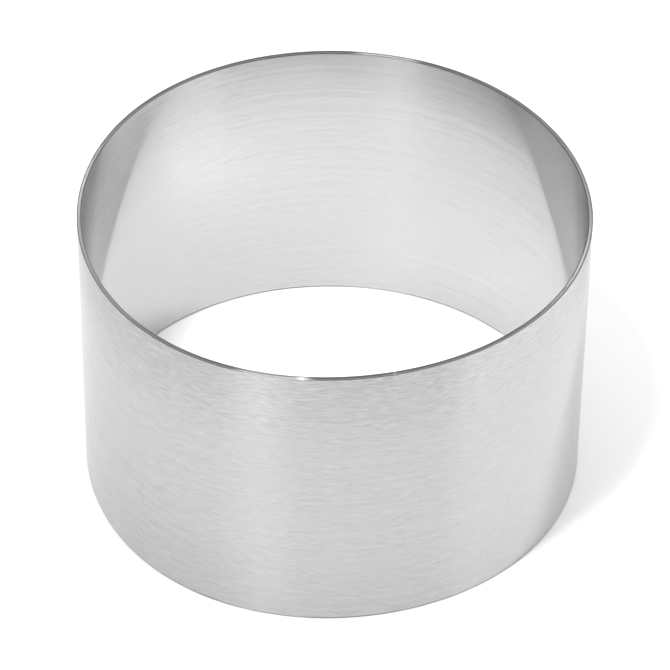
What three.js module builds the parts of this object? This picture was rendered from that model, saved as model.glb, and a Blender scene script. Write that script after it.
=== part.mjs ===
// Pastry ring: one strip of satin stainless steel, rolled round and closed by a butt weld dressed flush.
// Millimetres, +Z up. The origin is the centre of the base, and +X runs through the weld.
import * as THREE from "three";

// Driving dimensions
const OUTER_DIAMETER = 80;
const HEIGHT = 50;
const WALL = 0.7; // thickness of the strip
const EDGE_RADIUS = 0.2; // rounding of the strip's long edges, so that they don't cut the hand
const WELD_WIDTH = 1.2; // space between the strip's two ends, which the weld fills
const WELD_CROWN = 0.03; // how far the dressed weld still stands proud of each face of the wall

// Facets
const BAND_STEPS = 144; // round the ring, from one side of the weld to the other
const WELD_STEPS = 6; // across the weld
const EDGE_CURVE_SEGMENTS = 1; // a rounded edge gets two facets for each of these

// The strip keeps its length half-way through the wall as it is rolled, so lengths are measured there.
const innerRadius = OUTER_DIAMETER / 2 - WALL;
const neutralRadius = innerRadius + WALL / 2;
const stripLength = 2 * Math.PI * neutralRadius - WELD_WIDTH;
const seamHalfAngle = WELD_WIDTH / 2 / neutralRadius;

const satinSteel = new THREE.MeshStandardMaterial({
  color: 0xcfd0ce,
  roughness: 0.36,
  metalness: 1,
});
const dressedWeld = new THREE.MeshStandardMaterial({
  color: 0xc8c8c5,
  roughness: 0.42,
  metalness: 1,
});

// Section of the strip lying flat: x across its width, y through the wall from the inside face to the outside.
// The rounding takes at most a third of the wall from each face, so every rim keeps a flat land to stand on.
function stripSection() {
  const radius = Math.min(EDGE_RADIUS, WALL / 3);
  const section = new THREE.Shape();
  section.absarc(radius, radius, radius, Math.PI, 1.5 * Math.PI);
  section.absarc(HEIGHT - radius, radius, radius, 1.5 * Math.PI, 2 * Math.PI);
  section.absarc(HEIGHT - radius, WALL - radius, radius, 0, 0.5 * Math.PI);
  section.absarc(radius, WALL - radius, radius, 0.5 * Math.PI, Math.PI);
  return section;
}

// A flat length of the strip's section, running along z.
function flatStrip(length, steps) {
  return new THREE.ExtrudeGeometry(stripSection(), {
    depth: length,
    steps,
    curveSegments: EDGE_CURVE_SEGMENTS,
    bevelEnabled: false,
  });
}

// Swells both faces of the flat weld by half a cosine wave across its width, from nothing where it joins the strip.
function crown(geometry) {
  const points = geometry.getAttribute("position");
  for (let i = 0; i < points.count; i += 1) {
    const y = points.getY(i);
    const across = points.getZ(i) / WELD_WIDTH - 0.5;
    const side = (2 * y) / WALL - 1;
    points.setY(i, y + side * WELD_CROWN * Math.cos(Math.PI * across));
  }
  return geometry;
}

// Rolls a flat length round the Z axis: its width becomes height and its length an angle at the neutral layer.
function roll(geometry, startAngle) {
  const points = geometry.getAttribute("position");
  for (let i = 0; i < points.count; i += 1) {
    const height = points.getX(i);
    const radius = innerRadius + points.getY(i);
    const angle = startAngle + points.getZ(i) / neutralRadius;
    points.setXYZ(i, radius * Math.cos(angle), radius * Math.sin(angle), height);
  }
  geometry.computeVertexNormals();
  return geometry;
}

function piece(name, geometry, material) {
  const mesh = new THREE.Mesh(geometry, material);
  mesh.name = name;
  return mesh;
}

const ring = new THREE.Group();
ring.add(
  piece("rolled_band", roll(flatStrip(stripLength, BAND_STEPS), seamHalfAngle), satinSteel),
  piece("weld_seam", roll(crown(flatStrip(WELD_WIDTH, WELD_STEPS)), -seamHalfAngle), dressedWeld),
);

export default ring;
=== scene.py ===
"""Looks of a pastry ring: a strip of satin stainless steel, brushed along its length, rolled and welded shut.

Metres, +Z up, the ring's base at z = 0, the weld on +X and the viewer in front, towards -Y.
"""

import math

import bpy
import numpy as np
from mathutils import Matrix, Vector


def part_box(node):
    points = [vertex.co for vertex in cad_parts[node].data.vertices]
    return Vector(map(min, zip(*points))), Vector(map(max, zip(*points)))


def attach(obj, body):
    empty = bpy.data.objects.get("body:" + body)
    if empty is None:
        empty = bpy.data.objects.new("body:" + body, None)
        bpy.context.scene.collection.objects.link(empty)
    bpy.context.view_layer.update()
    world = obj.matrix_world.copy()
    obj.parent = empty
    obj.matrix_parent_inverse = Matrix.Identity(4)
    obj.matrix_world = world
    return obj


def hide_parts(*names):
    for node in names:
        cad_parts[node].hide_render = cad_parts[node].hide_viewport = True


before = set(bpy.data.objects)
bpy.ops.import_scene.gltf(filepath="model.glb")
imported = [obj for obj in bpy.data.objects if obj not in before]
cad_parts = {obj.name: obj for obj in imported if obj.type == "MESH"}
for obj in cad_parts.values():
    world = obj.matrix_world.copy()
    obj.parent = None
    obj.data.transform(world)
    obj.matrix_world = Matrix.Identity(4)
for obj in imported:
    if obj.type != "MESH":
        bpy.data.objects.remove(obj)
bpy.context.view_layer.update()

MM = 0.001

# Sizes read from the frame


def radii_of(node):
    """Least and greatest distance of a node's points from the ring's axis."""
    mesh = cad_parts[node].data
    points = np.empty(len(mesh.vertices) * 3)
    mesh.vertices.foreach_get("co", points)
    away = np.hypot(points[0::3], points[1::3])
    return away.min(), away.max()


INNER_RADIUS, OUTER_RADIUS = radii_of("rolled_band")
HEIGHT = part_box("rolled_band")[1].z
WALL = OUTER_RADIUS - INNER_RADIUS
MIDDLE_RADIUS = INNER_RADIUS + WALL / 2
WELD_HALF_ANGLE = math.asin(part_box("weld_seam")[1].y / OUTER_RADIUS)

# Form of the steel

# The rounded edges, and how finely the wall is divided
EDGE_RADIUS = 0.2 * MM
EDGE_ROWS = 6
LAND_ROWS = 4
FACE_ROWS = 10
EDGE_SUPPORT = 0.2 * MM
BAND_STEPS = 1440
WELD_STEPS = 24
WELD_CROWN = 0.02 * MM
# How far the rolled plan leaves a true circle: an even inset, a shift of its middle along x, and waves by how
# often they go round, along the cosine and the sine
PLAN_INSET = 0.05 * MM
PLAN_SHIFT = -0.22 * MM
PLAN_WAVES = {2: (0.11 * MM, 0.15 * MM), 3: (0.18 * MM, -0.03 * MM), 4: (-0.13 * MM, -0.10 * MM)}
# How far the wall leans out at the rim, and in at the base, as waves of the same kind
LEAN_WAVES = {2: (0.04 * MM, 0.06 * MM), 3: (0.05 * MM, -0.07 * MM)}
# Unevenness of the cut edges: the waves' number and lengths, and how deep they go
EDGE_WAVES = 60
EDGE_WAVE_LENGTHS = (2 * MM, 15 * MM)
EDGE_DIP = 0.0035 * MM
# Spots of the upper rim that are worn down towards the outside
WORN_SPOTS = (
    {"angle": math.radians(-96.6), "half_width": 0.9 * MM, "depth": 0.27 * MM},
    {"angle": math.radians(-76.4), "half_width": 0.45 * MM, "depth": 0.28 * MM},
)
SEED = 7

# Finish of the steel

# Places of the materials on each piece
OUTSIDE, INSIDE, CUT_EDGE = range(3)
# For each brushed face: how bright it is, and its tint at a grazing angle; the level of noise above which
# the steel is dull, low down and at the upper rim, so that a higher level gives fewer lines; how far below
# the rim the change reaches, and its curve; how far bundles of lines and broad passes of the brush shift
# that level; and how much a bundle darkens the steel, low down and at the upper rim
OUTSIDE_FINISH = {
    "brightness": 0.515,
    "grazing": 0.97,
    "lines": 0.58,
    "rim_lines": 0.46,
    "reach": 16 * MM,
    "curve": 1.0,
    "bundles": 0.04,
    "passes": 0.03,
    "grain": 0.3,
    "rim_grain": 0.7,
}
# The inside's greater brightness is partly its smoother finish and partly painted light that lifts the inside
# to the lighter tone it takes on under the studio's light
INSIDE_FINISH = {
    "brightness": 0.595,
    "grazing": 0.97,
    "lines": 0.70,
    "rim_lines": 0.44,
    "reach": 24 * MM,
    "curve": 0.5,
    "bundles": 0.015,
    "passes": 0.045,
    "grain": 0.14,
    "rim_grain": 0.18,
}
LAND_ROUGHNESS = 0.1
LINE_ROUGHNESS = 0.38
# Half the range of noise over which a bright land turns into a dull line
LINE_SOFTNESS = 0.03
# How far the lines, the bundles, the passes and the cut edges' marks reach along the strip and across it
LINE_SIZE = (3 * MM, 0.001 * MM)
BUNDLE_SIZE = (1.5 * MM, 0.05 * MM)
PASS_SIZE = (90 * MM, 0.6 * MM)
CUT_MARK_SIZE = (0.3 * MM, 1.0 * MM)
# How far apart in the noise two ruled rows can lie, along and across
ROW_SPREAD = (517.0, 1000.0)
# Which way the marks run, in full turns
ALONG_STRIP = 0.25
ACROSS_STRIP = 0.0
# The cut edges
CUT_BRIGHTNESS = 0.3
CUT_GRAZING = 0.9
CUT_ROUGHNESS = 0.65
CUT_MARK_DEPTH = 0.1 * MM
# Stretches of the cut edges where the key lamp's highlight falls, burnished and painted brighter there as a
# painted highlight: the middle's angle from the weld, and half the length
BURNISHED_AND_HIGHLIT = (
    {"angle": math.radians(257.1), "half_length": 5.3 * MM},
    {"angle": math.radians(78.0), "half_length": 4.9 * MM},
)
BURNISHED_AND_HIGHLIT_FADE = 1.2 * MM
# Painted highlight: the colour of those stretches, far brighter than the rest of the cut edges
PAINTED_HIGHLIGHT_BRIGHTNESS = 0.8
BURNISHED_MARK_DEPTH = 0.05 * MM
# How much duller the dressed weld is than the band
WELD_DULLING = 0.04

# Light

# Each lamp's azimuth and elevation as seen from the ring, its distance, its width and height, and its power
KEY_LAMP = {
    "azimuth": math.radians(-132.8),
    "elevation": math.radians(67.6),
    "distance": 1.0,
    "size": (0.14, 0.14),
    "watts": 5.7,
}
SOFTBOX = {
    "azimuth": math.radians(0.0),
    "elevation": math.radians(84.0),
    "distance": 1.2,
    "size": (0.9, 0.9),
    "watts": 10.1,
}
SIDE_PANEL = {
    "azimuth": math.radians(-9.0),
    "elevation": math.radians(11.0),
    "distance": 1.5,
    "size": (1.9, 0.5),
    "watts": 13.8,
}
BACK_PANEL = {
    "azimuth": math.radians(76.0),
    "elevation": math.radians(9.0),
    "distance": 1.5,
    "size": (2.1, 0.4),
    "watts": 6.0,
}
# Brightness of the room: all round, its rise along each axis, and what is added overhead
SKY_ALL_ROUND = -0.11
SKY_ACROSS = (-0.41, 0.49, 0.0)
SKY_OVERHEAD = 0.61
# How far mirrored light is softened after a dull bounce
GLOSSY_BLUR = 0.32

# Table

TABLE_HALF_SIDE = 6.0
TABLE_BRIGHTNESS = 0.9
TABLE_ROUGHNESS = 0.9

# Camera

CAMERA_DISTANCE = 0.7078
CAMERA_ELEVATION = math.radians(43.057)
CAMERA_PITCH = math.radians(41.623)
CAMERA_YAW = math.radians(0.049)
CAMERA_ROLL = math.radians(0.638)
FOCAL_LENGTH_PX = 4352.0
IMAGE_WIDTH_PX = 670
SENSOR_MM = 36.0


def new_object(name, data):
    """A new object in the scene, at the origin."""
    made = bpy.data.objects.new(name, data)
    bpy.context.scene.collection.objects.link(made)
    return made


def wall_section():
    """Closed outline of the wall: depth from the inside face, height, distance run, and each step's finish.

    Up the outside, over the rounded top edges and their land, down the inside and back under the base. The
    four corners are quarter circles. The long faces get a row close to each corner, so that their shading
    stays flat.
    """
    turn = np.linspace(0.0, math.pi / 2, EDGE_ROWS + 1)
    face = np.linspace(EDGE_RADIUS + EDGE_SUPPORT, HEIGHT - EDGE_RADIUS - EDGE_SUPPORT, FACE_ROWS)
    land = np.linspace(EDGE_RADIUS, WALL - EDGE_RADIUS, LAND_ROWS + 1)[1:-1]
    near, far = EDGE_RADIUS, WALL - EDGE_RADIUS
    low, high = EDGE_RADIUS, HEIGHT - EDGE_RADIUS
    depth = np.concatenate([
        np.full(FACE_ROWS, WALL),
        far + EDGE_RADIUS * np.cos(turn),
        land[::-1],
        near - EDGE_RADIUS * np.sin(turn),
        np.zeros(FACE_ROWS),
        near - EDGE_RADIUS * np.cos(turn),
        land,
        far + EDGE_RADIUS * np.sin(turn),
    ])
    height = np.concatenate([
        face,
        high + EDGE_RADIUS * np.sin(turn),
        np.full(land.size, HEIGHT),
        high + EDGE_RADIUS * np.cos(turn),
        face[::-1],
        low - EDGE_RADIUS * np.sin(turn),
        np.zeros(land.size),
        low - EDGE_RADIUS * np.cos(turn),
    ])
    steps = np.hypot(np.diff(depth, append=depth[0]), np.diff(height, append=height[0]))
    run = np.concatenate([[0.0], np.cumsum(steps)])
    middle_depth = (depth + np.roll(depth, -1)) / 2
    middle_height = (height + np.roll(height, -1)) / 2
    cut = np.abs(middle_height - HEIGHT / 2) > HEIGHT / 2 - EDGE_RADIUS
    finish = np.where(cut, CUT_EDGE, np.where(middle_depth > WALL / 2, OUTSIDE, INSIDE))
    return depth, height, run, finish


def waves_round(angles, waves):
    """Sum of cosine and sine waves that go a whole number of times round the ring."""
    total = np.zeros(angles.size)
    for turns, (cosine, sine) in waves.items():
        total += cosine * np.cos(turns * angles) + sine * np.sin(turns * angles)
    return total


def out_of_round(angles, height):
    """How far the wall stands outside the true circle, at each angle and height.

    The plan's shift, inset and waves, plus the lean's waves times the way up, from -1 at the base to 1 at the
    rim. So the wall stays straight from base to rim.
    """
    plan = PLAN_SHIFT * np.cos(angles) - PLAN_INSET + waves_round(angles, PLAN_WAVES)
    rise = 2.0 * height / HEIGHT - 1.0
    return plan[:, None] + waves_round(angles, LEAN_WAVES)[:, None] * rise[None, :]


def edge_dips(angles):
    """How far a cut edge dips at each angle: a sum of sine waves round the ring, never above its plane.

    The waves' lengths and phases are drawn from a seeded generator.
    """
    draw = np.random.default_rng(SEED)
    short, long = EDGE_WAVE_LENGTHS
    lengths = np.exp(draw.uniform(math.log(short), math.log(long), EDGE_WAVES))
    turns = np.round(2 * math.pi * INNER_RADIUS / lengths)
    phases = draw.uniform(0.0, 2 * math.pi, EDGE_WAVES)
    waves = np.sin(turns[:, None] * angles[None, :] + phases[:, None]).sum(axis=0)
    return EDGE_DIP * np.maximum(waves / math.sqrt(EDGE_WAVES / 2) + 1.0, 0.0)


def wear(angles):
    """How far the upper rim's outer side is worn down at each angle: a bell curve at each worn spot."""
    worn = np.zeros(angles.size)
    for spot in WORN_SPOTS:
        away = np.angle(np.exp(1j * (angles - spot["angle"]))) * OUTER_RADIUS
        worn += spot["depth"] * np.exp(-((away / spot["half_width"]) ** 2))
    return worn


def wall_points(angles, crown, depth, height):
    """Where the points of the wall's section, at that depth and height, lie at each angle round the axis.

    A point at depth d and height z goes to radius inner + d + out_of_round, swollen by the crown at that
    angle away from the middle of the wall. The rims dip by edge_dips, and the upper one also by the wear,
    times the share of the wall from inside to outside. Both fade out down the rounded edges.
    """
    side = 2.0 * depth / WALL - 1.0
    swell = crown[:, None] * side[None, :]
    radius = INNER_RADIUS + depth[None, :] + out_of_round(angles, height) + swell
    fade = EDGE_RADIUS + EDGE_SUPPORT
    upper = np.clip(1.0 - (HEIGHT - height) / fade, 0.0, 1.0)
    lower = np.clip(1.0 - height / fade, 0.0, 1.0)
    dips = edge_dips(angles)[:, None] * (lower - upper)
    level = height[None, :] + dips - wear(angles)[:, None] * upper * depth / WALL
    return np.stack([radius * np.cos(angles)[:, None], radius * np.sin(angles)[:, None], level], axis=-1)


def swept_wall(name, angles, crown):
    """The wall's section carried round the axis through the given angles, closed by a flat face at each end.

    Each face joins four neighbours on the grid of wall_points. The UV is the distance round the ring and
    along the section, in metres.
    """
    depth, height, run, finish = wall_section()
    points = wall_points(angles, crown, depth, height)
    rows, columns = points.shape[:2]
    row, column = np.meshgrid(np.arange(rows - 1), np.arange(columns), indexing="ij")
    after = (column + 1) % columns
    quads = np.stack([
        row * columns + column,
        (row + 1) * columns + column,
        (row + 1) * columns + after,
        row * columns + after,
    ], axis=-1).reshape(-1, 4)
    first_end = np.arange(columns)
    last_end = (rows - 1) * columns + first_end[::-1]
    faces = quads.tolist() + [first_end.tolist(), last_end.tolist()]
    mesh = bpy.data.meshes.new(name)
    mesh.from_pydata(points.reshape(-1, 3), [], faces)
    around = angles * MIDDLE_RADIUS
    u = np.stack([around[row], around[row + 1], around[row + 1], around[row]], axis=-1)
    v = np.stack([run[column], run[column], run[column + 1], run[column + 1]], axis=-1)
    cap = np.stack([depth, height], axis=-1)
    uv = np.concatenate([np.stack([u, v], axis=-1).reshape(-1, 2), cap, cap[::-1]])
    layer = mesh.uv_layers.new(name="strip")
    layer.data.foreach_set("uv", uv.astype(np.float32).ravel())
    smooth = np.append(np.ones(len(quads), bool), [False, False])
    mesh.polygons.foreach_set("use_smooth", smooth)
    places = np.append(finish[column].ravel(), [CUT_EDGE, CUT_EDGE])
    mesh.polygons.foreach_set("material_index", places.astype(np.int32))
    mesh.update()
    return new_object(name, mesh)


def make_band():
    """The strip from one side of the weld round to the other."""
    angles = np.linspace(WELD_HALF_ANGLE, 2 * math.pi - WELD_HALF_ANGLE, BAND_STEPS + 1)
    return swept_wall("band", angles, np.zeros(angles.size))


def make_weld():
    """The weld between the strip's ends, swollen by half a cosine wave across its width."""
    angles = np.linspace(-WELD_HALF_ANGLE, WELD_HALF_ANGLE, WELD_STEPS + 1)
    return swept_wall("weld", angles, WELD_CROWN * np.cos(angles / WELD_HALF_ANGLE * math.pi / 2))


class Nodes:
    """The node tree of a material or a world, with short calls to add nodes and to join them."""

    def __init__(self, owner, shader):
        owner.use_nodes = True
        self.owner = owner
        self.tree = owner.node_tree
        self.shader = self.tree.nodes[shader]

    def fill(self, node, inputs):
        """Set a node's inputs to values, or join them to other nodes' outputs."""
        for key, value in inputs.items():
            if isinstance(value, bpy.types.NodeSocket):
                self.tree.links.new(value, node.inputs[key])
            else:
                node.inputs[key].default_value = value

    def add(self, kind, inputs, **settings):
        """The outputs of a new node with these settings and inputs."""
        node = self.tree.nodes.new(kind)
        for key, value in settings.items():
            setattr(node, key, value)
        self.fill(node, inputs)
        return node.outputs

    def math(self, operation, *values):
        """The result of one arithmetic step."""
        return self.add("ShaderNodeMath", dict(enumerate(values)), operation=operation)["Value"]

    def between(self, value, start, stop, low, high):
        """The value's way from start to stop, laid out from low to high."""
        inputs = {"Value": value, "From Min": start, "From Max": stop, "To Min": low, "To Max": high}
        return self.add("ShaderNodeMapRange", inputs)["Result"]

    def noise(self, column, row):
        """Smooth noise from 0 to 1 that changes once or so for each whole column and row."""
        spot = self.add("ShaderNodeCombineXYZ", {"X": column, "Y": row})["Vector"]
        inputs = {"Vector": spot, "Scale": 1.0, "Detail": 0.0}
        return self.add("ShaderNodeTexNoise", inputs, noise_dimensions="2D")["Fac"]


def new_material(name):
    """The nodes of a new material."""
    return Nodes(bpy.data.materials.new(name), "Principled BSDF")


def drawn_out(nodes, along, across, size):
    """Soft streaks, from 0 to 1, that reach about that far along the strip and across it, in metres."""
    reach_along, reach_across = size
    return nodes.noise(nodes.math("DIVIDE", along, reach_along), nodes.math("DIVIDE", across, reach_across))


def ruled(nodes, along, across, size):
    """Straight rows along the strip, from 0 to 1, each that wide and with its own noise of that length."""
    length, width = size
    spread_along, spread_across = ROW_SPREAD
    row = nodes.math("FLOOR", nodes.math("DIVIDE", across, width))
    start = nodes.add("ShaderNodeTexWhiteNoise", {"W": row}, noise_dimensions="1D")["Value"]
    column = nodes.math("MULTIPLY_ADD", start, spread_along, nodes.math("DIVIDE", along, length))
    return nodes.noise(column, nodes.math("MULTIPLY", start, spread_across))


def strip_place(nodes):
    """Distances along the strip and across its section, in metres."""
    strip = nodes.add("ShaderNodeUVMap", {}, uv_map="strip")["UV"]
    parts = nodes.add("ShaderNodeSeparateXYZ", {"Vector": strip})
    return parts["X"], parts["Y"]


def bare_metal(nodes, grazing, turn):
    """Plain metal whose marks all run one way, along the strip or across it."""
    tangent = nodes.add("ShaderNodeTangent", {}, direction_type="UV_MAP", uv_map="strip")["Tangent"]
    nodes.fill(nodes.shader, {
        "Tangent": tangent,
        "Metallic": 1.0,
        "Specular Tint": (grazing, grazing, grazing, 1.0),
        "Anisotropic": 1.0,
        "Anisotropic Rotation": turn,
    })


def brushed_steel(name, finish, dulling=0.0):
    """Stainless steel brushed along the strip: bright lands, and between them fine dull lines.

    The lands mirror almost sharply. The lines throw light far up and down, and hardly along the strip. They
    lie closer together towards the upper rim. Bundles of lines, each a little darker or lighter, and broad
    passes of the brush show as faint streaks.
    """
    nodes = new_material(name)
    along, across = strip_place(nodes)
    lines = ruled(nodes, along, across, LINE_SIZE)
    bundles = ruled(nodes, along, across, BUNDLE_SIZE)
    passes = drawn_out(nodes, along, across, PASS_SIZE)
    bundle_shift = nodes.between(bundles, 0.0, 1.0, -finish["bundles"], finish["bundles"])
    pass_shift = nodes.between(passes, 0.0, 1.0, -finish["passes"], finish["passes"])
    from_rim = nodes.math("ABSOLUTE", nodes.math("SUBTRACT", across, HEIGHT))
    share = nodes.between(from_rim, 0.0, finish["reach"], 0.0, 1.0)
    way_down = nodes.math("POWER", share, finish["curve"])
    fewer = nodes.between(way_down, 0.0, 1.0, finish["rim_lines"], finish["lines"])
    level = nodes.math("SUBTRACT", fewer, dulling)
    shifted = nodes.math("ADD", lines, nodes.math("ADD", bundle_shift, pass_shift))
    over = nodes.math("SUBTRACT", shifted, level)
    roughness = nodes.between(over, -LINE_SOFTNESS, LINE_SOFTNESS, LAND_ROUGHNESS, LINE_ROUGHNESS)
    grain = nodes.between(way_down, 0.0, 1.0, finish["rim_grain"], finish["grain"])
    darker = nodes.math("MULTIPLY", nodes.math("SUBTRACT", bundles, 0.5), grain)
    bright = finish["brightness"] * (1.0 - dulling)
    shade = nodes.math("MULTIPLY", nodes.math("SUBTRACT", 1.0, darker), bright)
    nodes.fill(nodes.shader, {"Roughness": roughness, "Base Color": shade})
    bare_metal(nodes, finish["grazing"], ALONG_STRIP)
    return nodes.owner


def cut_steel(name):
    """The strip's cut and deburred edges: darker and duller than its faces, with short marks across them.

    The marks tilt the edge to and fro along the strip. On the burnished stretches, which lie where the key
    lamp's highlight falls, they are worn down, and the colour is painted brighter there: a painted highlight.
    """
    nodes = new_material(name)
    along, across = strip_place(nodes)
    burnished_and_highlit = 0.0
    for stretch in BURNISHED_AND_HIGHLIT:
        away = nodes.math("ABSOLUTE", nodes.math("SUBTRACT", along, stretch["angle"] * MIDDLE_RADIUS))
        inner = stretch["half_length"] - BURNISHED_AND_HIGHLIT_FADE
        outer = stretch["half_length"] + BURNISHED_AND_HIGHLIT_FADE
        burnished_and_highlit = nodes.math("MAXIMUM", burnished_and_highlit, nodes.between(away, inner, outer, 1.0, 0.0))
    marks = drawn_out(nodes, along, across, CUT_MARK_SIZE)
    depth = nodes.between(burnished_and_highlit, 0.0, 1.0, CUT_MARK_DEPTH, BURNISHED_MARK_DEPTH)
    tilted = nodes.add("ShaderNodeBump", {"Height": marks, "Distance": depth})["Normal"]
    # Painted highlight: the colour rises from the cut edge's own to a far brighter one on the stretches under
    # the key lamp's highlight
    shade = nodes.between(burnished_and_highlit, 0.0, 1.0, CUT_BRIGHTNESS, PAINTED_HIGHLIGHT_BRIGHTNESS)
    nodes.fill(nodes.shader, {"Normal": tilted, "Base Color": shade, "Roughness": CUT_ROUGHNESS})
    bare_metal(nodes, CUT_GRAZING, ACROSS_STRIP)
    return nodes.owner


def make_floor():
    """A wide white table."""
    side = TABLE_HALF_SIDE
    corners = [(-side, -side, 0), (side, -side, 0), (side, side, 0), (-side, side, 0)]
    mesh = bpy.data.meshes.new("floor")
    mesh.from_pydata(corners, [], [(0, 1, 2, 3)])
    floor = new_object("floor", mesh)
    nodes = new_material("white table")
    nodes.fill(nodes.shader, {
        "Base Color": (TABLE_BRIGHTNESS, TABLE_BRIGHTNESS, TABLE_BRIGHTNESS, 1.0),
        "Roughness": TABLE_ROUGHNESS,
        "Specular IOR Level": 0.0,
    })
    mesh.materials.append(nodes.owner)


def make_lamp(name, shape, azimuth, elevation, distance, size, watts):
    """A lamp that faces the ring's middle from the given side."""
    data = bpy.data.lights.new(name, "AREA")
    data.shape = shape
    data.size, data.size_y = size
    data.energy = watts
    lamp = new_object(name, data)
    direction = Vector((
        math.cos(elevation) * math.cos(azimuth),
        math.cos(elevation) * math.sin(azimuth),
        math.sin(elevation),
    ))
    lamp.location = direction * distance + Vector((0, 0, HEIGHT / 2))
    lamp.rotation_euler = direction.to_track_quat("Z", "Y").to_euler()


def make_surroundings():
    """A studio room: pale overhead, behind the ring and at its left, dark on the viewer's side.

    In a direction, its brightness is SKY_ALL_ROUND, plus SKY_ACROSS along it, plus SKY_OVERHEAD times its
    height squared, and never below zero.
    """
    nodes = Nodes(bpy.data.worlds.new("studio"), "Background")
    direction = nodes.add("ShaderNodeTexCoord", {})["Generated"]
    vectors = {0: direction, 1: SKY_ACROSS}
    across = nodes.add("ShaderNodeVectorMath", vectors, operation="DOT_PRODUCT")["Value"]
    height = nodes.add("ShaderNodeSeparateXYZ", {"Vector": direction})["Z"]
    squared = nodes.math("MULTIPLY", height, height)
    overhead = nodes.math("MULTIPLY_ADD", squared, SKY_OVERHEAD, SKY_ALL_ROUND)
    total = nodes.math("ADD", across, overhead)
    nodes.fill(nodes.shader, {"Color": (1.0, 1.0, 1.0, 1.0), "Strength": nodes.math("MAXIMUM", total, 0.0)})
    bpy.context.scene.world = nodes.owner


def make_camera():
    """A long lens in front of the ring and above it, looking a little above its line to the base's centre."""
    data = bpy.data.cameras.new("camera")
    data.sensor_width = SENSOR_MM
    data.lens = FOCAL_LENGTH_PX / IMAGE_WIDTH_PX * SENSOR_MM
    camera = new_object("camera", data)
    ahead = Vector((
        math.sin(CAMERA_YAW) * math.cos(CAMERA_PITCH),
        math.cos(CAMERA_YAW) * math.cos(CAMERA_PITCH),
        -math.sin(CAMERA_PITCH),
    ))
    level = Vector((math.cos(CAMERA_YAW), -math.sin(CAMERA_YAW), 0.0))
    above = level.cross(ahead)
    right = math.cos(CAMERA_ROLL) * level + math.sin(CAMERA_ROLL) * above
    up = math.cos(CAMERA_ROLL) * above - math.sin(CAMERA_ROLL) * level
    turned = Matrix((right, up, -ahead)).transposed()
    place = Vector((0.0, -math.cos(CAMERA_ELEVATION), math.sin(CAMERA_ELEVATION))) * CAMERA_DISTANCE
    place.x += PLAN_SHIFT
    camera.matrix_world = Matrix.Translation(place) @ turned.to_4x4()
    bpy.context.scene.camera = camera


make_camera()
make_floor()
make_lamp("key lamp", "DISK", **KEY_LAMP)
make_lamp("overhead softbox", "DISK", **SOFTBOX)
make_lamp("side panel", "RECTANGLE", **SIDE_PANEL)
make_lamp("back panel", "RECTANGLE", **BACK_PANEL)
make_surroundings()
bpy.context.scene.cycles.blur_glossy = GLOSSY_BLUR
bpy.context.scene.view_settings.view_transform = "Standard"

edge_material = cut_steel("cut edge")
band_materials = (
    brushed_steel("satin outside", OUTSIDE_FINISH),
    brushed_steel("satin inside", INSIDE_FINISH),
    edge_material,
)
weld_materials = (
    brushed_steel("dressed weld outside", OUTSIDE_FINISH, WELD_DULLING),
    brushed_steel("dressed weld inside", INSIDE_FINISH, WELD_DULLING),
    edge_material,
)
for piece, materials, node, slot in (
    (make_band(), band_materials, "rolled_band", "satin_steel"),
    (make_weld(), weld_materials, "weld_seam", "dressed_weld"),
):
    for material in materials:
        piece.data.materials.append(material)
    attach(piece, "root")
    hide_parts(node)
